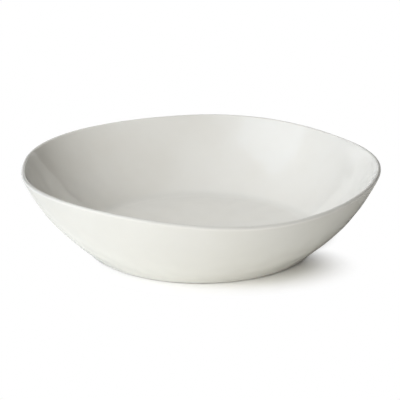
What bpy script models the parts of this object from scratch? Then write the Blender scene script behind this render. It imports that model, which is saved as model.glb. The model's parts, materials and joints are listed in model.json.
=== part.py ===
"""Serving bowl in glazed stoneware: a turned clay body, its glaze coat and the glaze under its base.

The bowl is turned round and then eased out of round by hand at the rim.
Units are metres, +Z is up, and the axis of the foot stands on the origin at table height.
"""
import math

import bmesh
import bpy
from mathutils import Vector

MM = 0.001

# Outside of the bowl, measured on the glaze and before the rim is eased
RIM_RADIUS = 150.0 * MM             # axis to the middle of the lip
LIP_HEIGHT = 68.5 * MM              # table to the middle of the lip
FOOT_RADIUS = 98.0 * MM             # axis to where the line of the outer wall meets the table
FOOT_SLOPE = math.radians(45.0)     # steepness of the outer wall at the foot
LIP_SLOPE = math.radians(66.0)      # steepness of the outer wall at the lip
FOOT_PULL = 0.23                    # how far the foot's slope carries up, as a share of foot to lip
LIP_PULL = 0.50                     # how far the lip's slope carries down, as a share of foot to lip

# Thicknesses, glaze included
LIP_THICKNESS = 3.7 * MM
WALL_THICKNESS = 5.6 * MM           # square to the wall at the foot, thinning to the lip
FLOOR_HEIGHT = 7.2 * MM             # table to the glazed floor
COVE_RADIUS = 18.0 * MM             # hollow curve between floor and wall

# Glaze
GLAZE_THICKNESS = 0.5 * MM
GLAZE_CLEARANCE = 0.3 * MM          # between the glaze and the clay under it
GLAZE_LINE = 0.5 * MM               # table to the wiped lower edge of the glaze
BASE_GLAZE_MARGIN = 2.0 * MM        # bare clay left round the glaze under the base

# Foot, in bare clay
FOOT_ROUND = 6.0 * MM               # rounded turn from the wall to the table
FOOT_WIDTH = 8.0 * MM               # flat ring that the bowl stands on
RECESS_DEPTH = 2.0 * MM             # hollow inside the ring
RECESS_SLOPE = math.radians(45.0)   # side of the hollow

# Easing of the rim: four soft corners, five slighter ones, a saddle and three swells in its height
CORNER_COUNT = 4
CORNER_REACH = 3.5 * MM
CORNER_BEARING = math.radians(-32.0)
DRIFT_COUNT = 5
DRIFT_REACH = 2.2 * MM
DRIFT_BEARING = math.radians(0.0)
SADDLE_COUNT = 2
SADDLE_RISE = 2.8 * MM
SADDLE_BEARING = math.radians(36.0)
SWELL_COUNT = 3
SWELL_RISE = 3.2 * MM
SWELL_BEARING = math.radians(-13.5)
RIM_SHIFT = Vector((-2.6 * MM, -1.4 * MM))
EASE_POWER = 1.5                    # how fast the easing fades from the rim down to the foot

# Facets
TURN_STEPS = 64
WALL_STEPS = 7
LIP_STEPS = 4
ROUND_STEPS = 3
AXIS_MERGE = 0.01 * MM
CREASE_ANGLE = math.radians(50.0)

CLAY_DEPTH = GLAZE_THICKNESS + GLAZE_CLEARANCE


def along(slope):
    """Unit direction in the (radius, height) plane that climbs at a slope."""
    return Vector((math.cos(slope), math.sin(slope)))


def square_to(slope):
    """Unit direction square to a slope, out of the bowl and down."""
    return Vector((math.sin(slope), -math.cos(slope)))


def spread(start, stop, steps):
    """Even values from start to stop, both included."""
    return [start + (stop - start) * i / steps for i in range(steps + 1)]


def outer_wall(t):
    """Point and slope of the glazed outer wall, from the foot at t = 0 to the lip at t = 1."""
    foot = Vector((FOOT_RADIUS, 0.0))
    lip = Vector((RIM_RADIUS, LIP_HEIGHT)) + square_to(LIP_SLOPE) * LIP_THICKNESS / 2
    span = (lip - foot).length
    leave = foot + along(FOOT_SLOPE) * FOOT_PULL * span
    arrive = lip - along(LIP_SLOPE) * LIP_PULL * span
    s = 1 - t
    point = s**3 * foot + 3 * s * s * t * leave + 3 * s * t * t * arrive + t**3 * lip
    climb = s * s * (leave - foot) + 2 * s * t * (arrive - leave) + t * t * (lip - arrive)
    return point, math.atan2(climb.y, climb.x)


def inner_wall(t):
    """Point and slope of the glazed inner wall, facing the same t on the outside."""
    point, slope = outer_wall(t)
    thickness = WALL_THICKNESS + (LIP_THICKNESS - WALL_THICKNESS) * t
    return point - square_to(slope) * thickness, slope


def place_where(height_at, height, low=-0.2, high=0.9):
    """Place between low and high at which a rising height_at reaches height, by halving."""
    for _ in range(60):
        middle = (low + high) / 2
        if height_at(middle) < height:
            low = middle
        else:
            high = middle
    return (low + high) / 2


def foot_centre(t):
    """Centre of a foot round that touches the clay of the outer wall at t."""
    point, slope = outer_wall(t)
    return point - square_to(slope) * (CLAY_DEPTH + FOOT_ROUND)


def cove_centre(t):
    """Centre of a cove that touches the inner wall at t."""
    point, slope = inner_wall(t)
    return point - square_to(slope) * COVE_RADIUS


# The foot round touches wall and table, the cove touches wall and floor
FOOT_T = place_where(lambda t: foot_centre(t).y, FOOT_ROUND)
COVE_T = place_where(lambda t: cove_centre(t).y, FLOOR_HEIGHT + COVE_RADIUS)
FOOT_CENTRE = foot_centre(FOOT_T)
COVE_CENTRE = cove_centre(COVE_T)
RING_INNER = FOOT_CENTRE.x - FOOT_WIDTH
RECESS_RADIUS = RING_INNER - RECESS_DEPTH / math.tan(RECESS_SLOPE)
FACE_STEPS = spread(1.0, 0.0, WALL_STEPS) + spread(0.0, -1.0, ROUND_STEPS)[1:]


def outside(u, depth):
    """Point under the outer face: u is 1 at the lip, 0 at the top of the foot round, -1 at the table."""
    if u >= 0:
        point, slope = outer_wall(FOOT_T + (1 - FOOT_T) * u)
        return point - square_to(slope) * depth
    slope = outer_wall(FOOT_T)[1] * (1 + u)
    return FOOT_CENTRE + square_to(slope) * (FOOT_ROUND + CLAY_DEPTH - depth)


def inside(u, depth):
    """Point under the inner face: u is 1 at the lip, 0 at the top of the cove, -1 on the floor."""
    if u >= 0:
        point, slope = inner_wall(COVE_T + (1 - COVE_T) * u)
        return point + square_to(slope) * depth
    slope = inner_wall(COVE_T)[1] * (1 + u)
    return COVE_CENTRE + square_to(slope) * (COVE_RADIUS + depth)


def lip_round(depth):
    """Points over the lip from its inner to its outer side, without the two ends."""
    centre = Vector((RIM_RADIUS, LIP_HEIGHT))
    radius = LIP_THICKNESS / 2 - depth
    over, across = along(LIP_SLOPE), square_to(LIP_SLOPE)
    turns = spread(0.0, math.pi, LIP_STEPS)[1:-1]
    return [centre + (over * math.sin(turn) - across * math.cos(turn)) * radius for turn in turns]


def bowl_face(depth, lowest):
    """Outline of the bowl at a depth under its glaze: floor, cove, wall, lip and outside down to lowest."""
    floor = [Vector((0.0, FLOOR_HEIGHT - depth))]
    climb = [inside(u, depth) for u in reversed(FACE_STEPS)]
    descent = [outside(u, depth) for u in FACE_STEPS if u > lowest] + [outside(lowest, depth)]
    return floor + climb + lip_round(depth) + descent


def stoneware_outline():
    """Fired clay: floor, wall, lip and the bare foot ring with its shallow recess."""
    underside = [
        Vector((RING_INNER, 0.0)),
        Vector((RECESS_RADIUS, RECESS_DEPTH)),
        Vector((0.0, RECESS_DEPTH)),
    ]
    return bowl_face(CLAY_DEPTH, -1.0) + underside


def glaze_outline():
    """Glass skin over the floor, wall and lip, wiped off just above the table."""
    edge = place_where(lambda u: outside(u, 0.0).y, GLAZE_LINE, -1.0, 1.0)
    shown = bowl_face(0.0, edge)
    hidden = bowl_face(GLAZE_THICKNESS, edge)
    return shown + hidden[::-1]


def base_glaze_outline():
    """Disc of glaze on the recessed base, with a rolled edge."""
    top = RECESS_DEPTH - GLAZE_CLEARANCE
    roll = GLAZE_THICKNESS / 2
    centre = Vector((RECESS_RADIUS - BASE_GLAZE_MARGIN, top - roll))
    turns = spread(0.0, math.pi, LIP_STEPS)
    edge = [centre + Vector((math.sin(turn), math.cos(turn))) * roll for turn in turns]
    return [Vector((0.0, top)), *edge, Vector((0.0, top - GLAZE_THICKNESS))]


def turned(name, outline):
    """Mesh of an outline of (radius, height) points turned about the axis of the foot."""
    profile = bpy.data.meshes.new(name + "_profile")
    bm = bmesh.new()
    corners = [bm.verts.new((point.x, 0.0, point.y)) for point in outline]
    for first, second in zip(corners, corners[1:]):
        bm.edges.new((first, second))
    bm.to_mesh(profile)
    bm.free()
    pattern = bpy.data.objects.new(name + "_pattern", profile)
    bpy.context.scene.collection.objects.link(pattern)
    screw = pattern.modifiers.new("turn", "SCREW")
    screw.axis = "Z"
    screw.angle = 2 * math.pi
    screw.steps = TURN_STEPS
    screw.render_steps = TURN_STEPS
    screw.use_merge_vertices = True
    screw.merge_threshold = AXIS_MERGE
    depsgraph = bpy.context.evaluated_depsgraph_get()
    mesh = bpy.data.meshes.new_from_object(pattern.evaluated_get(depsgraph))
    bpy.data.objects.remove(pattern)
    bpy.data.meshes.remove(profile)
    mesh.name = name
    return mesh


def eased(point):
    """Where a point of the round bowl goes when the rim is eased: nothing moves inside the foot."""
    radius = math.hypot(point.x, point.y)
    bearing = math.atan2(point.y, point.x)
    share = max(0.0, (radius - FOOT_RADIUS) / (RIM_RADIUS - FOOT_RADIUS)) ** EASE_POWER
    reach = CORNER_REACH * math.cos(CORNER_COUNT * (bearing - CORNER_BEARING))
    reach += DRIFT_REACH * math.cos(DRIFT_COUNT * (bearing - DRIFT_BEARING))
    rise = SADDLE_RISE * math.cos(SADDLE_COUNT * (bearing - SADDLE_BEARING))
    rise += SWELL_RISE * math.cos(SWELL_COUNT * (bearing - SWELL_BEARING))
    out = Vector((math.cos(bearing), math.sin(bearing)))
    flat = out * (radius + reach * share) + RIM_SHIFT * share
    return Vector((flat.x, flat.y, point.z + rise * share))


def finish(name, colour, roughness):
    """Plain material of one colour and gloss."""
    material = bpy.data.materials.new(name)
    material.use_nodes = True
    shader = material.node_tree.nodes["Principled BSDF"]
    shader.inputs["Base Color"].default_value = (*colour, 1.0)
    shader.inputs["Roughness"].default_value = roughness
    shader.inputs["Metallic"].default_value = 0.0
    return material


def add_piece(name, outline, material):
    """Turn an outline, ease it out of round and stand it on the table."""
    mesh = turned(name, outline)
    for vertex in mesh.vertices:
        vertex.co = eased(vertex.co)
    mesh.shade_smooth()
    mesh.set_sharp_from_angle(angle=CREASE_ANGLE)
    mesh.materials.append(material)
    piece = bpy.data.objects.new(name, mesh)
    piece.parent = table_point
    serving_bowl.objects.link(piece)
    print(name, len(mesh.polygons), "faces")


for old in list(bpy.data.objects):
    bpy.data.objects.remove(old)

serving_bowl = bpy.data.collections.new("serving_bowl")
bpy.context.scene.collection.children.link(serving_bowl)
table_point = bpy.data.objects.new("table_point", None)
serving_bowl.objects.link(table_point)

add_piece("stoneware_body", stoneware_outline(), finish("bare_stoneware", (0.60, 0.53, 0.44), 0.80))
add_piece("glaze_coat", glaze_outline(), finish("white_glaze", (0.84, 0.84, 0.81), 0.12))
add_piece("base_glaze", base_glaze_outline(), finish("base_white_glaze", (0.82, 0.81, 0.77), 0.15))
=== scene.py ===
# %% [markdown]
# # A serving bowl in white glazed stoneware
#
# The real bowl is one turned clay form, dipped in white glaze and wiped bare where it stands.
# Its CAD model has the same three bodies: the clay, the coat of glaze and the patch of glaze
# under the base. This lesson keeps that model as a fixed frame and shows finer meshes of the
# same form in its place, with the marks of the hand, the wheel and the kiln on them.

# %% The frame
import json
import math
from collections import namedtuple

import bmesh
import bpy
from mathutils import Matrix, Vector, noise

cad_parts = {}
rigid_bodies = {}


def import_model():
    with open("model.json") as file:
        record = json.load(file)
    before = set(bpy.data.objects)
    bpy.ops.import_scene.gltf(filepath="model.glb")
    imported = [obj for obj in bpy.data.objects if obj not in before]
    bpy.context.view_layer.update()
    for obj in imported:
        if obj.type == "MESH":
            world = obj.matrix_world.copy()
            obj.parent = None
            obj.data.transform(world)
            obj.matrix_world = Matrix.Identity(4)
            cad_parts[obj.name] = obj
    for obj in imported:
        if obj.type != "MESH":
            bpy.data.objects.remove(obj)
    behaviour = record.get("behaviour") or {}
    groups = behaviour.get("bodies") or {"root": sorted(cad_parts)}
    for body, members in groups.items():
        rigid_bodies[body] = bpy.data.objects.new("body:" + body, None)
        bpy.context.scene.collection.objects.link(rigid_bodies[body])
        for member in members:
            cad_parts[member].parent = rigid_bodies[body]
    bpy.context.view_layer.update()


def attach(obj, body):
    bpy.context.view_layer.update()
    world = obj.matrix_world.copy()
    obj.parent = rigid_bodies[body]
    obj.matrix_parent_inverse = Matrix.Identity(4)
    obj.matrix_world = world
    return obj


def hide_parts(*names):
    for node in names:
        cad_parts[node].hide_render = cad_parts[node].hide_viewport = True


MM = 0.001

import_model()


# %% [markdown]
# ## Where the camera stands
#
# Tableware is photographed with a long lens from a little above the rim, so that the inside
# shows and the rim is an oval with little perspective. A camera could be aimed with a Track To
# constraint. Here its place and tilt are worked out from one elevation and one distance,
# because the same numbers then say where the rim will fall in the picture.

# %% Camera
CAMERA_ELEVATION = math.radians(19.1)
CAMERA_DISTANCE = 1000.0 * MM
CAMERA_AIM = Vector((-0.15 * MM, 0.0, 35.4 * MM))
CAMERA_LENS = 105.7                 # millimetres, as Blender's cameras take them
SENSOR_WIDTH = 36.0                 # millimetres

camera_data = bpy.data.cameras.new("bowl_camera")
camera_data.lens = CAMERA_LENS
camera_data.sensor_width = SENSOR_WIDTH
camera = bpy.data.objects.new("bowl_camera", camera_data)
towards_camera = Vector((0.0, -math.cos(CAMERA_ELEVATION), math.sin(CAMERA_ELEVATION)))
camera.location = CAMERA_AIM + towards_camera * CAMERA_DISTANCE
camera.rotation_euler = (math.pi / 2 - CAMERA_ELEVATION, 0.0, 0.0)
bpy.context.scene.collection.objects.link(camera)
bpy.context.scene.camera = camera
print("camera height in mm:", round(camera.location.z / MM, 1))

# %% [markdown]
# ## The wall of the bowl
#
# A potter draws a bowl as half a section: a line from the foot to the lip. That line could be
# traced by eye, but four facts settle it: where it starts and ends, and how steep it is there.
# A cubic curve through those facts gives the outer wall, and the inner wall lies a thickness
# away, thinning towards the lip. The sizes are those of the CAD model, less three tenths of a
# millimetre at the rim, because this finer mesh reaches further into the curves of its box.

# %% Outer and inner wall
RIM_RADIUS = 149.7 * MM             # 150 mm in the CAD model
LIP_HEIGHT = 68.5 * MM
FOOT_RADIUS = 98.0 * MM
FOOT_SLOPE = math.radians(45.0)
LIP_SLOPE = math.radians(66.0)
FOOT_PULL = 0.23                    # how far the foot's slope carries up, as a share of foot to lip
LIP_PULL = 0.50                     # how far the lip's slope carries down, as a share of foot to lip
LIP_THICKNESS = 3.7 * MM
WALL_THICKNESS = 5.6 * MM


def along(slope):
    """Unit direction in the (radius, height) plane that climbs at a slope."""
    return Vector((math.cos(slope), math.sin(slope)))


def square_to(slope):
    """Unit direction square to a slope, out of the bowl and down."""
    return Vector((math.sin(slope), -math.cos(slope)))


def outer_wall(t):
    """Point and slope of the outer wall, from the foot at t = 0 to the lip at t = 1."""
    foot = Vector((FOOT_RADIUS, 0.0))
    lip = Vector((RIM_RADIUS, LIP_HEIGHT)) + square_to(LIP_SLOPE) * LIP_THICKNESS / 2
    span = (lip - foot).length
    leave = foot + along(FOOT_SLOPE) * FOOT_PULL * span
    arrive = lip - along(LIP_SLOPE) * LIP_PULL * span
    s = 1 - t
    point = s**3 * foot + 3 * s * s * t * leave + 3 * s * t * t * arrive + t**3 * lip
    climb = s * s * (leave - foot) + 2 * s * t * (arrive - leave) + t * t * (lip - arrive)
    return point, math.atan2(climb.y, climb.x)


def inner_wall(t):
    """Point and slope of the inner wall, facing the same t on the outside."""
    point, slope = outer_wall(t)
    thickness = WALL_THICKNESS + (LIP_THICKNESS - WALL_THICKNESS) * t
    return point - square_to(slope) * thickness, slope


print("outer wall halfway up, mm:", [round(c / MM, 1) for c in outer_wall(0.5)[0]])

# %% [markdown]
# ## Foot and cove
#
# At the bottom the wall rolls under to the table in a small round, and inside it runs into the
# floor in a wide hollow curve, the cove. Both could be bevels on the finished mesh. Here each is
# an arc whose centre is found by halving, so that it meets the wall and the flat exactly, and
# one number u runs down each face: 1 at the lip, 0 where the arc starts, -1 on the flat.

# %% Arcs at the foot and in the cove
FLOOR_HEIGHT = 7.2 * MM
COVE_RADIUS = 18.0 * MM
FOOT_ROUND = 6.0 * MM
CLAY_DEPTH = 0.8 * MM               # from the face of the glaze to the clay under it
WALL_SEARCH = (-0.2, 0.9)           # t between which both arcs touch their walls
HALVINGS = 60


def place_where(height_at, height, low, high):
    """Place between low and high at which a rising height_at reaches height, by halving."""
    for _ in range(HALVINGS):
        middle = (low + high) / 2
        if height_at(middle) < height:
            low = middle
        else:
            high = middle
    return (low + high) / 2


def foot_centre(t):
    """Centre of a foot round that touches the clay of the outer wall at t."""
    point, slope = outer_wall(t)
    return point - square_to(slope) * (CLAY_DEPTH + FOOT_ROUND)


def cove_centre(t):
    """Centre of a cove that touches the inner wall at t."""
    point, slope = inner_wall(t)
    return point - square_to(slope) * COVE_RADIUS


FOOT_T = place_where(lambda t: foot_centre(t).y, FOOT_ROUND, *WALL_SEARCH)
COVE_T = place_where(lambda t: cove_centre(t).y, FLOOR_HEIGHT + COVE_RADIUS, *WALL_SEARCH)
FOOT_CENTRE = foot_centre(FOOT_T)
COVE_CENTRE = cove_centre(COVE_T)
print("outer radius of the foot ring, mm:", round(FOOT_CENTRE.x / MM, 1))

# %% Faces of the bowl
def outside(u, depth):
    """Point at a depth under the outer face."""
    if u >= 0:
        point, slope = outer_wall(FOOT_T + (1 - FOOT_T) * u)
        return point - square_to(slope) * depth
    slope = outer_wall(FOOT_T)[1] * (1 + u)
    return FOOT_CENTRE + square_to(slope) * (FOOT_ROUND + CLAY_DEPTH - depth)


def inside(u, depth):
    """Point at a depth under the inner face."""
    if u >= 0:
        point, slope = inner_wall(COVE_T + (1 - COVE_T) * u)
        return point + square_to(slope) * depth
    slope = inner_wall(COVE_T)[1] * (1 + u)
    return COVE_CENTRE + square_to(slope) * (COVE_RADIUS + depth)


def over_lip(turn, depth):
    """Point over the rounded lip: turn is 0 on its inner side and pi on its outer side."""
    across = math.sin(turn) * along(LIP_SLOPE) - math.cos(turn) * square_to(LIP_SLOPE)
    return Vector((RIM_RADIUS, LIP_HEIGHT)) + across * (LIP_THICKNESS / 2 - depth)


lip_middle = over_lip(math.pi / 2, 0.0)
print("middle of the lip's round, mm:", [round(c / MM, 1) for c in lip_middle])

# %% [markdown]
# ## The eased rim
#
# The rim isn't round: while the clay was soft it was eased by hand into a loose four-cornered
# oval that rises and dips. A lattice could bend the mesh, but a few waves round the rim
# give the same shape from named sizes, and they fade towards the foot, which stays round.

# %% Easing
Wave = namedtuple("Wave", "count size bearing")
CORNERS = Wave(4, 3.5 * MM, math.radians(-32.0))
DRIFT = Wave(5, 2.2 * MM, 0.0)
SADDLE = Wave(2, 2.8 * MM, math.radians(36.0))
SWELL = Wave(3, 3.2 * MM, math.radians(-13.5))
RIM_SHIFT = Vector((-2.6 * MM, -1.4 * MM))  # of the whole rim, off the axis of the foot
EASE_POWER = 1.5                    # of the way out from the foot, so that the easing grows to the rim


def wave_at(wave, bearing):
    """Height of a wave round the rim at a bearing."""
    return wave.size * math.cos(wave.count * (bearing - wave.bearing))


def eased(point, bearing):
    """Where a (radius, height) point goes when it is turned to a bearing and eased."""
    share = max(0.0, (point.x - FOOT_RADIUS) / (RIM_RADIUS - FOOT_RADIUS)) ** EASE_POWER
    reach = wave_at(CORNERS, bearing) + wave_at(DRIFT, bearing)
    rise = wave_at(SADDLE, bearing) + wave_at(SWELL, bearing)
    out = Vector((math.cos(bearing), math.sin(bearing)))
    flat = out * (point.x + reach * share) + RIM_SHIFT * share
    return Vector((flat.x, flat.y, point.y + rise * share))


print("the same at the right, eased, mm:", [round(c / MM, 1) for c in eased(lip_middle, 0.0)])

# %% [markdown]
# ## Turning rows into a mesh
#
# A Screw modifier could turn a fixed profile. Here the profile changes on its way round, because
# the rim is eased, the wiped edge of the glaze wanders and the trimming groove is a spiral, so the
# mesh is made row by row. A row is a function from bearing to (radius, height), with numbers
# that are read later: its share of the hand's waves, how much painted shade its glaze gets where it
# thins, how far it is gathered in the cove, and how much painted light it gets low on the outside,
# where it runs thicker. The first and last rows lie on the axis, so each piece closes.

# %% Lathe
SEGMENTS = 240
# Of a row's numbers, the one for thinning glaze also darkens it with painted shade, and the one for
# glaze that has run whitens it with painted light low on the outside.
Row = namedtuple("Row", "place hand thin cove run", defaults=(0.0, 0.0, 0.0, 0.0))
TURN = [2 * math.pi * step / SEGMENTS for step in range(SEGMENTS)]


def spread(start, stop, steps):
    """Even values from start to stop, both included."""
    return [start + (stop - start) * step / steps for step in range(steps + 1)]


def still(point):
    """Place of a row that is the same at every bearing."""
    return lambda bearing: point


def lathed(name, rows):
    """Closed mesh of rows round the axis, eased out of round, with the rows' numbers on its points."""
    bm = bmesh.new()
    layers = {key: bm.verts.layers.float.new(key) for key in Row._fields[1:]}
    rings = []
    for row in rows:
        on_axis = row is rows[0] or row is rows[-1]
        bearings = TURN[:1] if on_axis else TURN
        ring = [bm.verts.new(eased(row.place(bearing), bearing)) for bearing in bearings]
        for vert in ring:
            for key, layer in layers.items():
                vert[layer] = getattr(row, key)
        rings.append(ring)
    for upper, lower in zip(rings, rings[1:]):
        for step in range(SEGMENTS):
            after = (step + 1) % SEGMENTS
            corners = [upper[step % len(upper)], lower[step % len(lower)]]
            corners += [lower[after % len(lower)], upper[after % len(upper)]]
            bm.faces.new(dict.fromkeys(corners))
    bmesh.ops.recalc_face_normals(bm, faces=bm.faces)
    mesh = bpy.data.meshes.new(name)
    bm.to_mesh(mesh)
    bm.free()
    mesh.shade_smooth()
    return mesh


print("rows are turned in", SEGMENTS, "steps")

# %% [markdown]
# ## The marks of the hand
#
# No hand-finished wall is true. Its glaze lies in slow waves a few tenths of a millimetre deep,
# and they bend the reflections more than they show as shape. Bump could fake them, but real
# waves in the mesh also move the edge of the lip. The waves come from a noise that is a fixed
# function of place, so every run gives the same bowl, and they only go inwards from the CAD face.

# %% Waves in the wall
BROAD_WAVE = 46.0 * MM
BROAD_DEPTH = 0.20 * MM
SMALL_WAVE = 13.0 * MM
SMALL_DEPTH = 0.30 * MM
INSET = 0.38 * MM                   # of the middle of the waves under the CAD face


def show_hand(mesh):
    """Push a mesh's points in along their normals by the waves of the hand; give the depths in mm."""
    shares = [entry.value for entry in mesh.attributes["hand"].data]
    normals = [vert.normal.copy() for vert in mesh.vertices]
    depths = []
    for vert, normal, share in zip(mesh.vertices, normals, shares):
        wave = BROAD_DEPTH * noise.noise(vert.co / BROAD_WAVE)
        wave += SMALL_DEPTH * noise.noise(vert.co / SMALL_WAVE)
        depths.append(share * (INSET - wave))
        vert.co -= normal * depths[-1]
    mesh.update()
    return round(min(depths) / MM, 2), round(max(depths) / MM, 2)


print("waves of", round(BROAD_WAVE / MM), "and", round(SMALL_WAVE / MM), "mm in the faces that show")

# %% [markdown]
# ## The coat of glaze
#
# Nearly all that shows is the glaze: one glass skin over the floor, up the wall, over the lip and
# down the outside. The potter wipes it off with a wet sponge just above the table, so that the
# bowl doesn't fuse to the kiln shelf, and the wiped edge wanders a little and is rolled by the
# heat. Solidify could give the skin its thickness, but its edge would be square and straight.
# In the kiln the glaze creeps off the lip and runs down the outside, so it is thinnest on the
# lip's outer shoulder, thickest low on the wall and thinner again at the wiped edge. Its colour
# follows that with painted shade on the lip's outer shoulder, just below the lip and towards the
# wiped edge, and with painted light low on the outside. The rows carry this in their numbers,
# which change the colour and not the shape.

# %% Wiped edge
GLAZE_LINE = 0.3 * MM               # least height of the wiped edge above the table
WIPE_WANDER = 0.4 * MM
WIPE_WAVE = 24.0 * MM


def wander_at(bearing, radius, wave):
    """Slow change between 0 and 1 on the way round a circle."""
    place = Vector((radius * math.cos(bearing), radius * math.sin(bearing), 0.0))
    return 0.5 + 0.5 * noise.noise(place / wave)


def wiped_edge(bearing):
    """How far down the outside the glaze goes at a bearing, as a u of that face."""
    height = GLAZE_LINE + WIPE_WANDER * wander_at(bearing, FOOT_RADIUS, WIPE_WAVE)
    return place_where(lambda u: outside(u, 0.0).y, height, -1.0, 1.0)


EDGE_AT = {bearing: wiped_edge(bearing) for bearing in TURN}
edge_heights = [round(outside(u, 0.0).y / MM, 2) for u in EDGE_AT.values()]
print("wiped edge above the table, mm:", min(edge_heights), "to", max(edge_heights))

# %% Glaze thickness, painted shade and painted light
LIP_TRUE = 0.75                     # share of the waves that the wiped lip has lost
TRUE_FROM = 0.6                     # u above which the waves get less
THIN_TURN = math.radians(105.0)     # where over the lip the glaze is thinnest and the painted shade darkest: its outer shoulder
THIN_SPAN = math.radians(60.0)      # either side of that, over which it thickens again and the painted shade fades
BELOW_LIP_SHADE = 0.2                     # how much painted shade the outside starts with, where 1 is the darkest
SHADE_FADE = 6                       # power of the way up the outside: painted shade stays near the lip
LIGHT_FADE = 2                        # power of the way down it: painted light grows towards the foot


def hand_share(u):
    """How much of the hand's waves a face has: all below, less near the lip, which is wiped true."""
    return 1.0 - LIP_TRUE * max(0.0, (u - TRUE_FROM) / (1 - TRUE_FROM))


def cove_nearness(u):
    """1 in the middle of the cove, 0 at its top and at the edge of the floor."""
    return max(0.0, 1 - abs(2 * u + 1)) if u < 0 else 0.0


def lip_thinness_and_shade(turn):
    """Share of painted shade over the lip, where the glaze is thinnest, kept where the outside starts.
    """
    off = min(abs(turn - THIN_TURN) / THIN_SPAN, 1.0)
    return max(math.cos(off * math.pi / 2), BELOW_LIP_SHADE if turn > THIN_TURN else 0.0)


def outer_thinness_and_shade(u):
    """Share of painted shade on the outer wall: a little, near the lip."""
    return BELOW_LIP_SHADE * u**SHADE_FADE


def run_and_light(u):
    """Share of painted light on the outer wall, where the glaze also runs thicker: more and more
    towards the foot.
    """
    return (1 - u)**LIGHT_FADE


# the same number sets how much painted light the outer wall gets there
print("how thick the glaze has run halfway up the outside, of 1:", run_and_light(0.5))

# %% Glaze coat
SKIN = 0.72 * MM                    # thickness of the coat, which lies close on the clay
FLOOR_STEPS = 10                    # rows to each stretch of the section
COVE_STEPS = 10
WALL_STEPS = 24
LIP_STEPS = 14
ROUND_STEPS = 7
EDGE_STEPS = 4
HIDDEN_STEPS = 8


def down_round(share, depth):
    """Place of a row on the foot round, at a share of the way down to the wiped edge."""
    return lambda bearing: outside(EDGE_AT[bearing] * share, depth)


def rolled_edge(turn):
    """Place of a row round the wiped edge: turn is 0 on the face and pi on the clay side."""
    depth = SKIN / 2 * (1 - math.cos(turn))
    bulge = SKIN / 2 * math.sin(turn)
    return lambda bearing: outside(EDGE_AT[bearing] - bulge / FOOT_ROUND, depth)


def glaze_rows():
    """Rows of the coat: the face from the floor to the wiped edge, then back along the clay."""
    axis = Vector((0.0, FLOOR_HEIGHT))
    edge = Vector((COVE_CENTRE.x, FLOOR_HEIGHT))
    rows = [Row(still(axis.lerp(edge, share)), 1.0) for share in spread(0.0, 1.0, FLOOR_STEPS)[:-1]]
    for u in spread(-1.0, 0.0, COVE_STEPS) + spread(0.0, 1.0, WALL_STEPS)[1:]:
        rows.append(Row(still(inside(u, 0.0)), hand_share(u), 0.0, cove_nearness(u)))
    for turn in spread(0.0, math.pi, LIP_STEPS)[1:-1]:
        rows.append(Row(still(over_lip(turn, 0.0)), hand_share(1.0), lip_thinness_and_shade(turn)))
    for u in spread(1.0, 0.0, WALL_STEPS):
        # on the outer wall: painted shade just below the lip and painted light towards the foot
        rows.append(Row(still(outside(u, 0.0)), hand_share(u), outer_thinness_and_shade(u), 0.0, run_and_light(u)))
    for share in spread(0.0, 1.0, ROUND_STEPS)[1:]:
        # on the foot round the painted light fades out and painted shade grows to the wiped edge
        rows.append(Row(down_round(share, 0.0), 1.0 - share, share, 0.0, 1.0 - share))
    for turn in spread(0.0, math.pi, EDGE_STEPS)[1:-1]:
        rows.append(Row(rolled_edge(turn)))
    rows += [Row(down_round(share, SKIN)) for share in spread(1.0, 0.0, ROUND_STEPS)]
    rows += [Row(still(outside(u, SKIN))) for u in spread(0.0, 1.0, HIDDEN_STEPS)[1:]]
    rows += [Row(still(over_lip(turn, SKIN))) for turn in spread(math.pi, 0.0, EDGE_STEPS)[1:-1]]
    rows += [Row(still(inside(u, SKIN))) for u in spread(1.0, 0.0, HIDDEN_STEPS)]
    rows += [Row(still(inside(u, SKIN))) for u in spread(0.0, -1.0, EDGE_STEPS)[1:]]
    rows.append(Row(still(axis - Vector((0.0, SKIN)))))
    return rows


glaze_mesh = lathed("bowl_glaze", glaze_rows())
glaze_depths = show_hand(glaze_mesh)
print("glaze coat:", len(glaze_mesh.polygons), "faces, waves from and to, mm deep:", glaze_depths)

# %% [markdown]
# ## The clay
#
# Under the glaze lies the fired clay. It shows only at the foot: the ring that the bowl stands on
# and a narrow band inside it. That ring is cut with a trimming tool while the bowl turns upside
# down on the wheel, so it carries one fine spiral groove. A bump would not be in the mesh, so
# the groove is in the rows, and it is cut up into the clay so that the ring still stands flat.

# %% Clay body
FOOT_WIDTH = 8.0 * MM
RECESS_DEPTH = 2.0 * MM
RECESS_SLOPE = math.radians(45.0)
RING_INNER = FOOT_CENTRE.x - FOOT_WIDTH
RECESS_RADIUS = RING_INNER - RECESS_DEPTH / math.tan(RECESS_SLOPE)
GROOVED_BAND = 4.0 * MM             # from the recess's edge in to under the base glaze
GROOVE_PITCH = 1.6 * MM
GROOVE_DEPTH = 0.12 * MM
GROOVE_ROWS = 5                     # rows to one pitch of the groove


def grooved(radius, height):
    """Place of a row of the trimmed foot, with the spiral groove cut up into it."""
    def place(bearing):
        turns = radius / GROOVE_PITCH - bearing / (2 * math.pi)
        return Vector((radius, height + GROOVE_DEPTH * (0.5 - 0.5 * math.cos(2 * math.pi * turns))))
    return place


def trimmed(start, stop):
    """Rows of a trimmed flat from one (radius, height) to another, close enough to hold the groove."""
    steps = max(1, round((stop - start).length / GROOVE_PITCH * GROOVE_ROWS))
    points = [start.lerp(stop, share) for share in spread(0.0, 1.0, steps)]
    return [Row(grooved(point.x, point.y)) for point in points]


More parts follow.
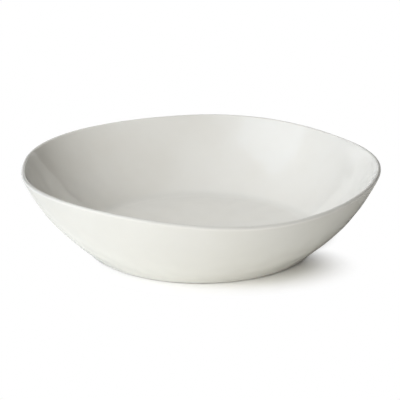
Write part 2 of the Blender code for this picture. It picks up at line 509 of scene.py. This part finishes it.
def clay_rows():
    """Rows of the clay: hidden face under the glaze, foot round, grooved ring and recess."""
    rows = [Row(still(Vector((0.0, FLOOR_HEIGHT - CLAY_DEPTH))))]
    rows += [Row(still(inside(u, CLAY_DEPTH))) for u in spread(-1.0, 0.0, EDGE_STEPS)]
    rows += [Row(still(inside(u, CLAY_DEPTH))) for u in spread(0.0, 1.0, HIDDEN_STEPS)[1:]]
    rows += [Row(still(over_lip(turn, CLAY_DEPTH))) for turn in spread(0.0, math.pi, EDGE_STEPS)[1:-1]]
    rows += [Row(still(outside(u, CLAY_DEPTH))) for u in spread(1.0, 0.0, HIDDEN_STEPS)]
    rows += [Row(still(outside(u, CLAY_DEPTH))) for u in spread(0.0, -1.0, WALL_STEPS)[1:]]
    corners = [(FOOT_CENTRE.x, 0.0), (RING_INNER, 0.0), (RECESS_RADIUS, RECESS_DEPTH)]
    corners.append((RECESS_RADIUS - GROOVED_BAND, RECESS_DEPTH))
    for start, stop in zip(corners, corners[1:]):
        rows += trimmed(Vector(start), Vector(stop))[1:]
    rows.append(Row(still(Vector((0.0, RECESS_DEPTH)))))
    return rows


clay_mesh = lathed("clay_body", clay_rows())
print("clay body:", len(clay_mesh.polygons), "faces, ring", round(RING_INNER / MM, 1), "mm and out")

# %% [markdown]
# ## Glaze under the base
#
# The recess inside the foot ring is glazed too, so that the base wipes clean. It is a shallow
# pool with a soft, wandering edge where the sponge went round. It could be a flat disc, but the
# edge is what the eye finds when the bowl is turned over, so it has a rolled lip like the coat's.

# %% Base glaze
POOL_CLEARANCE = 0.05 * MM
POOL_TOP = RECESS_DEPTH - POOL_CLEARANCE
POOL_DEPTH = 0.65 * MM
ROLL = POOL_DEPTH / 2               # radius of the rolled edge
POOL_MARGIN = 2.0 * MM              # least bare clay between the edge of the recess and the pool
POOL_WANDER = 1.5 * MM
POOL_WAVE = 21.0 * MM
POOL_HAND = 0.6                     # share of the hand's waves at the middle of the pool
POOL_STEPS = 12
POOL_ROLL_STEPS = 6


def pool_edge(bearing):
    """Radius of the pool's edge at a bearing."""
    wander = wander_at(bearing, RECESS_RADIUS, POOL_WAVE)
    return RECESS_RADIUS - POOL_MARGIN - POOL_WANDER * wander


def pool_roll(turn):
    """Place of a row round the pool's edge: turn is 0 on the clay side and pi on the face."""
    bulge = Vector((math.sin(turn), math.cos(turn))) * ROLL
    return lambda bearing: Vector((pool_edge(bearing) - ROLL, POOL_TOP - ROLL)) + bulge


def pool_face(share):
    """Place of a row on the pool's face, at a share of the way out to its edge."""
    return lambda bearing: Vector(((pool_edge(bearing) - ROLL) * share, POOL_TOP - POOL_DEPTH))


def pool_rows():
    """Rows of the pool: hidden face against the clay, rolled edge, then the face that shows."""
    rows = [Row(still(Vector((0.0, POOL_TOP))))]
    rows += [Row(pool_roll(turn)) for turn in spread(0.0, math.pi, POOL_ROLL_STEPS)]
    for share in spread(1.0, 0.0, POOL_STEPS)[1:-1]:
        rows.append(Row(pool_face(share), POOL_HAND * (1.0 - share)))
    rows.append(Row(still(Vector((0.0, POOL_TOP - POOL_DEPTH))), POOL_HAND))
    return rows


pool_mesh = lathed("base_glaze_pool", pool_rows())
pool_depths = show_hand(pool_mesh)
print("base glaze:", len(pool_mesh.polygons), "faces, waves from and to, mm deep:", pool_depths)

# %% [markdown]
# ## Shared effects
#
# Both glazes have the same small marks, and the clay's grain shows both on the bare ring and, faintly,
# through the glaze under the base. The nodes could be copied from material to material, but then a
# change would have to be made in each. So the marks and the grain are two node groups, built once
# and placed in each material with its own values. They read the place on the object, so what they
# draw stays put when the bowl or the camera moves.

# %% Node group helpers
RISING = (0.0, 1.0)
FALLING = (1.0, 0.0)


def new_group(name, inputs, outputs):
    """Empty shader node group with float sockets, and its input and output nodes."""
    group = bpy.data.node_groups.new(name, "ShaderNodeTree")
    for label, value in inputs.items():
        socket = group.interface.new_socket(label, in_out="INPUT", socket_type="NodeSocketFloat")
        socket.default_value = value
    for label in outputs:
        group.interface.new_socket(label, in_out="OUTPUT", socket_type="NodeSocketFloat")
    return group, group.nodes.new("NodeGroupInput"), group.nodes.new("NodeGroupOutput")


def add_node(tree, kind, settings=(), **values):
    """Node of a kind with its settings and the values of its input sockets."""
    node = tree.nodes.new(kind)
    for key, value in dict(settings).items():
        setattr(node, key, value)
    for label, value in values.items():
        node.inputs[label.replace("_", " ")].default_value = value
    return node


def math_node(tree, operation, first, second):
    """Math node whose two inputs are sockets or numbers."""
    node = tree.nodes.new("ShaderNodeMath")
    node.operation = operation
    for socket, value in zip(node.inputs, (first, second)):
        if isinstance(value, (int, float)):
            socket.default_value = value
        else:
            tree.links.new(value, socket)
    return node.outputs["Value"]


def remap(tree, value, span, ends=RISING):
    """Map Range from a span to its ends, clamped, with a smooth step."""
    node = tree.nodes.new("ShaderNodeMapRange")
    node.interpolation_type = "SMOOTHSTEP"
    tree.links.new(value, node.inputs["Value"])
    for label, number in zip(("From Min", "From Max", "To Min", "To Max"), (*span, *ends)):
        node.inputs[label].default_value = number
    return node.outputs["Result"]


print("node helpers for groups, math and ranges are ready")

# %% Texture helpers
def lay_textures(group, start, **textures):
    """Textures that read the place on the object, each at the group's input for its scale."""
    place = add_node(group, "ShaderNodeTexCoord").outputs["Object"]
    for label, texture in textures.items():
        group.links.new(place, texture.inputs["Vector"])
        group.links.new(start.outputs[label + " Scale"], texture.inputs["Scale"])


def some_cells(group, cells, channel, share, span):
    """Round spot in a share of a Voronoi texture's cells, that fades out over a span of distance."""
    chance = add_node(group, "ShaderNodeSeparateColor")
    group.links.new(cells.outputs["Color"], chance.inputs["Color"])
    picked = math_node(group, "LESS_THAN", chance.outputs[channel], share)
    spot = remap(group, cells.outputs["Distance"], span, FALLING)
    return math_node(group, "MULTIPLY", picked, spot)


print("texture helpers for noise and scattered spots are ready")

# %% [markdown]
# ### Marks of the kiln
#
# Cloudiness is the slow change of tone where a glaze lies thicker or thinner, ripple is the fine
# unevenness that breaks a reflection's edge, and pinholes are the few pits left by gas in the
# kiln. Two noises give the first two. Pinholes could be a third noise cut off high, but such
# spots differ in size, so they are the middles of a few of a Voronoi texture's cells.

# %% Kiln marks group
PINHOLE_EDGE = (0.012, 0.030)       # of a cell's size, from the middle: flat bottom and rim


def kiln_marks_group():
    """Cloudiness, ripple and pinholes of a fired glaze; scales are per metre."""
    inputs = {"Cloud Scale": 22.0, "Ripple Scale": 190.0, "Pinhole Scale": 70.0, "Pinhole Share": 0.03}
    group, start, end = new_group("kiln_marks", inputs, ("Cloud", "Ripple", "Pinhole"))
    cloud = add_node(group, "ShaderNodeTexNoise", Detail=3.0, Roughness=0.55)
    ripple = add_node(group, "ShaderNodeTexNoise", Detail=2.0, Roughness=0.45)
    cells = add_node(group, "ShaderNodeTexVoronoi")
    lay_textures(group, start, Cloud=cloud, Ripple=ripple, Pinhole=cells)
    pinhole = some_cells(group, cells, "Red", start.outputs["Pinhole Share"], PINHOLE_EDGE)
    group.links.new(cloud.outputs["Fac"], end.inputs["Cloud"])
    group.links.new(ripple.outputs["Fac"], end.inputs["Ripple"])
    group.links.new(pinhole, end.inputs["Pinhole"])
    return group


kiln_marks = kiln_marks_group()
print("group:", kiln_marks.name, [item.name for item in kiln_marks.interface.items_tree])

# %% [markdown]
# ### Grain of the clay
#
# Stoneware clay is ground rock: its grain is fine and dense, its firing colour changes slowly, and
# iron in it burns to dark specks. One noise can't be both fine and slow, so there are two, and the
# specks are spots in some cells, as the pinholes are.

# %% Clay grain group
SPECK_EDGE = (0.10, 0.28)           # of a cell's size, from the middle: dark heart and pale edge


def clay_grain_group():
    """Grain of the clay, its patches and the dark iron specks in it; scales are per metre."""
    inputs = {"Grain Scale": 1500.0, "Patch Scale": 48.0, "Speck Scale": 330.0, "Speck Share": 0.16}
    group, start, end = new_group("clay_grain", inputs, ("Grain", "Patch", "Speck"))
    grain = add_node(group, "ShaderNodeTexNoise", Detail=4.0, Roughness=0.65)
    patch = add_node(group, "ShaderNodeTexNoise", Detail=3.0, Roughness=0.55)
    cells = add_node(group, "ShaderNodeTexVoronoi")
    lay_textures(group, start, Grain=grain, Patch=patch, Speck=cells)
    speck = some_cells(group, cells, "Green", start.outputs["Speck Share"], SPECK_EDGE)
    group.links.new(grain.outputs["Fac"], end.inputs["Grain"])
    group.links.new(patch.outputs["Fac"], end.inputs["Patch"])
    group.links.new(speck, end.inputs["Speck"])
    return group


clay_grain = clay_grain_group()
print("group:", clay_grain.name, [item.name for item in clay_grain.interface.items_tree])

# %% [markdown]
# ## The white glaze
#
# The glaze is a warm white glass, so clear on top that lamps show in it and so full of white
# below that no clay comes through. Its colour is darkened with painted shade on the lip's outer
# shoulder, just below the lip and at the wiped edge, where the glaze is also thinner; in the cove it
# gathers and turns a shade greyer; and low on the outside, where it runs thicker, painted light
# makes it whitest. One flat colour with low roughness would look like plastic: these changes, the
# slow clouds and the changing gloss are what make it glaze.

# %% Material helpers
def start_material(name):
    """New node material, with its tree and its Principled shader."""
    material = bpy.data.materials.new(name)
    material.use_nodes = True
    return material, material.node_tree, material.node_tree.nodes["Principled BSDF"]


def place_group(tree, group, **values):
    """Node group placed in a material with its own values."""
    return add_node(tree, "ShaderNodeGroup", {"node_tree": group}, **values)


def blend(tree, share, first, second):
    """Colour between two colours or sockets, by a share that is a socket."""
    node = tree.nodes.new("ShaderNodeMix")
    node.data_type = "RGBA"
    tree.links.new(share, node.inputs["Factor"])
    for label, colour in (("A", first), ("B", second)):
        socket = next(s for s in node.inputs if s.name == label and s.type == "RGBA")
        if isinstance(colour, tuple):
            socket.default_value = (*colour, 1.0)
        else:
            tree.links.new(colour, socket)
    return next(s for s in node.outputs if s.type == "RGBA")


def number_on_points(tree, name):
    """Number that the mesh carries on its points."""
    return add_node(tree, "ShaderNodeAttribute", {"attribute_name": name}).outputs["Fac"]


def relief(tree, shader, layers):
    """Chain of bumps into the shader's Normal, from (height socket, depth in metres) pairs."""
    below = None
    for height, depth in layers:
        bump = add_node(tree, "ShaderNodeBump", Strength=1.0, Distance=depth)
        tree.links.new(height, bump.inputs["Height"])
        if below:
            tree.links.new(below, bump.inputs["Normal"])
        below = bump.outputs["Normal"]
    tree.links.new(below, shader.inputs["Normal"])


print("material helpers for colours, numbers on points and relief are ready")

# %% White glaze
GLAZE_WHITE = (0.804, 0.798, 0.762)
GLAZE_CLOUD = (0.790, 0.781, 0.740)
# painted shade: the darker colour on the lip's outer shoulder, below the lip and at the wiped edge,
# where the glaze also thins
GLAZE_THIN_AND_SHADE = (0.63, 0.624, 0.594)
GLAZE_POOLED = (0.786, 0.782, 0.748)
# painted light: the whiter colour low on the outside, where the glaze also runs thicker
GLAZE_RUN_AND_LIGHT = (0.886, 0.879, 0.836)
GLAZE_CLOUDED = (0.35, 0.68)        # of the cloud noise, from the plain white to the clouded
GLAZE_ROUGHNESS = (0.02, 0.05)
GLOSS_SPAN = (0.3, 0.7)             # of a noise, from the glossiest to the dullest
PINHOLE_TONE = (0.52, 0.47, 0.40)
RIPPLE_DEPTH = 0.012 * MM
PINHOLE_DEPTH = 0.05 * MM


def finish_glaze(tree, shader, marks, colour, roughness):
    """Give a glaze's shader its colour with pinholes, its changing gloss and its relief."""
    colour = blend(tree, marks.outputs["Pinhole"], colour, PINHOLE_TONE)
    gloss = remap(tree, marks.outputs["Cloud"], GLOSS_SPAN, roughness)
    pits = math_node(tree, "SUBTRACT", 1.0, marks.outputs["Pinhole"])
    tree.links.new(colour, shader.inputs["Base Color"])
    tree.links.new(gloss, shader.inputs["Roughness"])
    relief(tree, shader, ((marks.outputs["Ripple"], RIPPLE_DEPTH), (pits, PINHOLE_DEPTH)))


def white_glaze_material():
    """Glossy warm-white glaze: painted shade where it thins, greyer in the cove, painted light low on
    the outside.
    """
    material, tree, shader = start_material("white_glaze_finish")
    marks = place_group(tree, kiln_marks)
    clouded = remap(tree, marks.outputs["Cloud"], GLAZE_CLOUDED)
    colour = blend(tree, clouded, GLAZE_WHITE, GLAZE_CLOUD)
    # painted shade where the glaze thins: the lip, the top of the outer wall and the wiped edge
    colour = blend(tree, number_on_points(tree, "thin"), colour, GLAZE_THIN_AND_SHADE)
    colour = blend(tree, number_on_points(tree, "cove"), colour, GLAZE_POOLED)
    # painted light low on the outside, where the glaze runs thicker
    colour = blend(tree, number_on_points(tree, "run"), colour, GLAZE_RUN_AND_LIGHT)
    finish_glaze(tree, shader, marks, colour, GLAZE_ROUGHNESS)
    return material


white_glaze = white_glaze_material()
print("material:", white_glaze.name)

# %% [markdown]
# ## The glaze under the base
#
# This is the same glaze in a thinner layer, so the clay warms it and its iron specks show as
# faint freckles. The coat's own material would do at a glance, but it is too white and too clear
# for so thin a layer. So this one has its own colours and more pinholes, and it reuses both groups:
# that is what makes it belong to the same bowl.

# %% Base glaze material
BASE_WHITE = (0.80, 0.785, 0.735)
BASE_THIN = (0.74, 0.715, 0.65)
BASE_CLOUDED = (0.35, 0.65)
BASE_ROUGHNESS = (0.12, 0.22)
FRECKLE = (0.55, 0.49, 0.41)
FRECKLE_SHARE = 0.45                # of a speck's tone that comes through the glaze


def base_glaze_material():
    """Thinner glaze with the clay's specks showing faintly through it."""
    material, tree, shader = start_material("base_glaze_finish")
    marks = place_group(tree, kiln_marks, Cloud_Scale=38.0, Pinhole_Share=0.12)
    clay = place_group(tree, clay_grain, Speck_Scale=240.0, Speck_Share=0.10)
    clouded = remap(tree, marks.outputs["Cloud"], BASE_CLOUDED)
    colour = blend(tree, clouded, BASE_WHITE, BASE_THIN)
    freckles = math_node(tree, "MULTIPLY", clay.outputs["Speck"], FRECKLE_SHARE)
    colour = blend(tree, freckles, colour, FRECKLE)
    finish_glaze(tree, shader, marks, colour, BASE_ROUGHNESS)
    return material


base_glaze = base_glaze_material()
print("material:", base_glaze.name)

# %% [markdown]
# ## Bare stoneware
#
# The wiped ring is buff clay: matte, gritty and a little uneven, with iron specks. A plain noise
# would give one size of grain. Fired clay has two, the grit and the slow change of its firing
# colour, so both come from the group.

# %% Bare stoneware material
CLAY_BUFF = (0.60, 0.53, 0.44)
CLAY_TOASTED = (0.50, 0.415, 0.325)
CLAY_SPECK = (0.24, 0.18, 0.135)
CLAY_GRIT = (0.68, 0.62, 0.54)
TOASTED_SPAN = (0.35, 0.68)         # of the slow noise, from buff to toasted
GRIT_SPAN = (0.52, 0.72)            # of the grain, above which grit shows
GRIT_SHARE = (0.0, 0.7)             # of the grit's colour, least and most
CLAY_ROUGHNESS = (0.72, 0.90)
GRAIN_DEPTH = 0.07 * MM


def bare_stoneware_material():
    """Matte buff clay with grit, iron specks and a slow change of firing colour."""
    material, tree, shader = start_material("bare_stoneware_finish")
    clay = place_group(tree, clay_grain)
    toasted = remap(tree, clay.outputs["Patch"], TOASTED_SPAN)
    colour = blend(tree, toasted, CLAY_BUFF, CLAY_TOASTED)
    gritty = remap(tree, clay.outputs["Grain"], GRIT_SPAN, GRIT_SHARE)
    colour = blend(tree, gritty, colour, CLAY_GRIT)
    colour = blend(tree, clay.outputs["Speck"], colour, CLAY_SPECK)
    gloss = remap(tree, clay.outputs["Grain"], GLOSS_SPAN, CLAY_ROUGHNESS)
    tree.links.new(colour, shader.inputs["Base Color"])
    tree.links.new(gloss, shader.inputs["Roughness"])
    relief(tree, shader, ((clay.outputs["Grain"], GRAIN_DEPTH),))
    return material


bare_stoneware = bare_stoneware_material()
print("material:", bare_stoneware.name)

# %% [markdown]
# ## Putting the pieces on the frame
#
# Each mesh becomes an object that rides on the CAD body and stands for one CAD node, which is hidden.

# %% Pieces
def add_piece(mesh, material, node):
    """Object that shows a mesh in place of a CAD node."""
    mesh.materials.append(material)
    piece = bpy.data.objects.new(mesh.name, mesh)
    bpy.context.scene.collection.objects.link(piece)
    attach(piece, "root")
    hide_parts(node)


add_piece(clay_mesh, bare_stoneware, "stoneware_body")
add_piece(glaze_mesh, white_glaze, "glaze_coat")
add_piece(pool_mesh, base_glaze, "base_glaze")

# %% [markdown]
# ## The white table
#
# The bowl stands on a white sweep. Light from its plain, pale colour comes back up under the wall,
# which is why the outside of a bowl isn't dark. In the picture the sweep is lifted to pure white,
# and that is done for the camera and for mirrors only, so the bowl gets no more light from it.
# Under and beside the foot the floor stays a lit surface and keeps the shadow, in an oval in front
# and a round behind, and past them the camera sees an even white. The glaze sees that white only
# further out, because what it mirrors along its edges is the table that the bowl stands on.

# %% Floor helpers
FLOOR_REACH = 30.0                  # metres
FLOOR_SIDES = 64
FLOOR_ALBEDO = (0.92, 0.918, 0.885)
FLOOR_LIFTED = (1.06, 1.06, 1.035)
FRONT_SHADOW = (0.020, -0.060)      # middle of the shadow beside and before the foot, in metres
FRONT_OVAL = 1.7                    # how many times wider than deep that shadow is
FRONT_FADE = (0.057, 0.112)         # off its middle, between which the floor turns white
BACK_SHADOW = (0.010, 0.035)        # middle of the round shadow behind the foot
BACK_FADE = (0.090, 0.115)
WHITE_IN_MIRRORS = (0.30, 0.50)     # off that middle, between which mirrors see the floor turn white


def mix_shaders(tree, share, first, second):
    """Mix Shader between two shader sockets."""
    node = tree.nodes.new("ShaderNodeMixShader")
    tree.links.new(share, node.inputs["Fac"])
    tree.links.new(first, node.inputs[1])
    tree.links.new(second, node.inputs[2])
    return node.outputs["Shader"]


def mirror_ray(path):
    """1 for glossy and transmission rays, 0 for all others."""
    rays = (path.outputs["Is Glossy Ray"], path.outputs["Is Transmission Ray"])
    return math_node(path.id_data, "MAXIMUM", *rays)


def distance_off(tree, place, centre, oval):
    """Distance of a place on the floor from a centre, with the depth stretched by an oval's ratio."""
    stretched = add_node(tree, "ShaderNodeVectorMath", {"operation": "MULTIPLY"})
    tree.links.new(place, stretched.inputs[0])
    stretched.inputs[1].default_value = (1.0, oval, 0.0)
    reach = add_node(tree, "ShaderNodeVectorMath", {"operation": "DISTANCE"})
    tree.links.new(stretched.outputs["Vector"], reach.inputs[0])
    reach.inputs[1].default_value = (centre[0], centre[1] * oval, 0.0)
    return reach.outputs["Value"]


print("the floor keeps the shadow to", FRONT_FADE[1], "m on each side of its middle in front")

# %% White sweep
def white_sweep_material():
    """Plain white floor that is lifted to white in the picture and keeps the bowl's shadow."""
    material, tree, shader = start_material("white_sweep")
    tree.nodes.remove(shader)
    plain = add_node(tree, "ShaderNodeBsdfDiffuse", Color=(*FLOOR_ALBEDO, 1.0)).outputs["BSDF"]
    lifted = add_node(tree, "ShaderNodeBsdfDiffuse", Color=(*FLOOR_LIFTED, 1.0)).outputs["BSDF"]
    even = add_node(tree, "ShaderNodeEmission", Strength=1.0).outputs["Emission"]
    place = tree.nodes.new("ShaderNodeNewGeometry")
    path = tree.nodes.new("ShaderNodeLightPath")
    off_front = distance_off(tree, place.outputs["Position"], FRONT_SHADOW, FRONT_OVAL)
    off_back = distance_off(tree, place.outputs["Position"], BACK_SHADOW, 1.0)
    front = remap(tree, off_front, FRONT_FADE)
    back = remap(tree, off_back, BACK_FADE)
    shown = mix_shaders(tree, math_node(tree, "MINIMUM", front, back), lifted, even)
    far = remap(tree, off_back, WHITE_IN_MIRRORS)
    surface = mix_shaders(tree, math_node(tree, "MULTIPLY", far, mirror_ray(path)), plain, even)
    surface = mix_shaders(tree, path.outputs["Is Camera Ray"], surface, shown)
    under = math_node(tree, "MULTIPLY", place.outputs["Backfacing"], path.outputs["Is Camera Ray"])
    glass = add_node(tree, "ShaderNodeBsdfTransparent").outputs["BSDF"]
    surface = mix_shaders(tree, under, surface, glass)
    tree.links.new(surface, tree.nodes["Material Output"].inputs["Surface"])
    return material


bpy.ops.mesh.primitive_circle_add(vertices=FLOOR_SIDES, radius=FLOOR_REACH, fill_type="NGON")
floor = bpy.context.object
floor.name = "white_sweep"
floor.data.materials.append(white_sweep_material())
print("floor reaches", FLOOR_REACH, "m, and shows from below as clear glass")

# %% [markdown]
# ## Studio light
#
# The bowl was lit from the left and the front: its outside is white on the left and grey on the
# right, and its inside is the other way round. A bare lamp would give a hard shadow, and a row of
# soft boxes would show as a row of patches in the glaze. The real glaze mirrors one tall panel, on
# its right inner wall and a little below the rim, so one panel stands on the left, well off the
# table, and shows. A skirt under it, a key in front, a low fill and a fill from behind shape the
# rest without showing in it. The lit side of the bowl is a cooler white than its shaded side, as
# beside a window, so the panel is bluish and the light of the room a little warm.

# %% Soft boxes
Softbox = namedtuple("Softbox", "place aim width height power tint mirrored")
ON_BOWL = Vector((0.0, 0.0, 0.03))
PANEL = Vector((-1.04, -0.65, 1.33))  # metres, as all places and sizes of the lamps are
SKIRT = Vector((-1.04, -0.65, 0.28))
PANEL_FACES = Vector((0.94, 0.34, 0.0))
COOL = (0.84, 1.0, 1.26)
WARM = (1.03, 1.0, 0.945)
SOFTBOXES = {
    "side_panel": Softbox(PANEL, PANEL + PANEL_FACES, 1.9, 1.56, 7.87, COOL, True),
    "panel_skirt": Softbox(SKIRT, SKIRT + PANEL_FACES, 1.9, 0.54, 2.73, COOL, False),
    "key": Softbox(Vector((-0.30, -0.81, 0.68)), ON_BOWL, 0.7, 0.7, 5.4, WARM, False),
    "low_fill": Softbox(Vector((-0.12, -0.88, 0.12)), ON_BOWL, 0.8, 0.2, 0.4, WARM, False),
    "back_fill": Softbox(Vector((-0.54, 0.45, 0.71)), ON_BOWL, 0.8, 0.8, 3.15, WARM, False),
}


def add_softbox(name, box):
    """Rectangular area lamp at a place, facing a point, that the camera doesn't see."""
    lamp = bpy.data.lights.new(name, "AREA")
    lamp.shape = "RECTANGLE"
    lamp.size = box.width
    lamp.size_y = box.height
    lamp.energy = box.power
    lamp.color = box.tint
    holder = bpy.data.objects.new(name, lamp)
    holder.location = box.place
    holder.rotation_euler = (box.place - box.aim).to_track_quat("Z", "Y").to_euler()
    holder.visible_camera = False
    holder.visible_glossy = box.mirrored
    bpy.context.scene.collection.objects.link(holder)


for lamp_name, softbox in SOFTBOXES.items():
    add_softbox(lamp_name, softbox)
print("lamps, W:", {lamp_name: softbox.power for lamp_name, softbox in SOFTBOXES.items()})

# %% [markdown]
# ## The room
#
# The rest of the light comes from the room: pale warm walls, brightest in front on the left, and the
# ceiling over the camera. More lamps would do it, but each would need a place of its own, and a
# world of two broad glows has no edges. Mirrors don't show the glows, which would drown the edge of
# the panel's patch. Near the horizon the camera and the mirrors see the backdrop, a plain white.

# %% Room glow
Glow = namedtuple("Glow", "azimuth elevation tightness strength")
ROOM_GLOWS = (Glow(-110.0, 25.0, 4.0, 0.85), Glow(-90.0, 60.0, 4.0, 0.22))
BACKDROP = (0.05, 0.15)             # heights of a unit direction between which the backdrop ends


def glow_level(tree, direction, glow):
    """Brightness of a glow: most in one direction, fading with the angle from it."""
    azimuth = math.radians(glow.azimuth)
    elevation = math.radians(glow.elevation)
    level = Vector((math.cos(azimuth), math.sin(azimuth), 0.0)) * math.cos(elevation)
    facing = add_node(tree, "ShaderNodeVectorMath", {"operation": "DOT_PRODUCT"})
    tree.links.new(direction, facing.inputs[0])
    facing.inputs[1].default_value = (level.x, level.y, math.sin(elevation))
    ahead = math_node(tree, "MAXIMUM", facing.outputs["Value"], 0.0)
    return math_node(tree, "MULTIPLY", math_node(tree, "POWER", ahead, glow.tightness), glow.strength)


def room_light(glows):
    """World of soft glows that mirrors miss, with a white backdrop low down for them and the camera."""
    world = bpy.data.worlds.new("room")
    world.use_nodes = True
    tree = world.node_tree
    direction = add_node(tree, "ShaderNodeTexCoord").outputs["Generated"]
    level = glow_level(tree, direction, glows[0])
    for glow in glows[1:]:
        level = math_node(tree, "ADD", level, glow_level(tree, direction, glow))
    room = tree.nodes["Background"]
    room.inputs["Color"].default_value = (*WARM, 1.0)
    white = add_node(tree, "ShaderNodeBackground", Color=(1.0, 1.0, 1.0, 1.0), Strength=1.0)
    path = tree.nodes.new("ShaderNodeLightPath")
    mirrored = mirror_ray(path)
    unmirrored = math_node(tree, "SUBTRACT", 1.0, mirrored)
    tree.links.new(math_node(tree, "MULTIPLY", level, unmirrored), room.inputs["Strength"])
    seen = math_node(tree, "MAXIMUM", mirrored, path.outputs["Is Camera Ray"])
    parts = tree.nodes.new("ShaderNodeSeparateXYZ")
    tree.links.new(direction, parts.inputs["Vector"])
    low = math_node(tree, "MULTIPLY", seen, remap(tree, parts.outputs["Z"], BACKDROP, FALLING))
    surface = mix_shaders(tree, low, room.outputs["Background"], white.outputs["Background"])
    tree.links.new(surface, tree.nodes["World Output"].inputs["Surface"])
    return world


bpy.context.scene.world = room_light(ROOM_GLOWS)
bpy.context.scene.view_settings.view_transform = "Standard"
print("room glows:", len(ROOM_GLOWS))
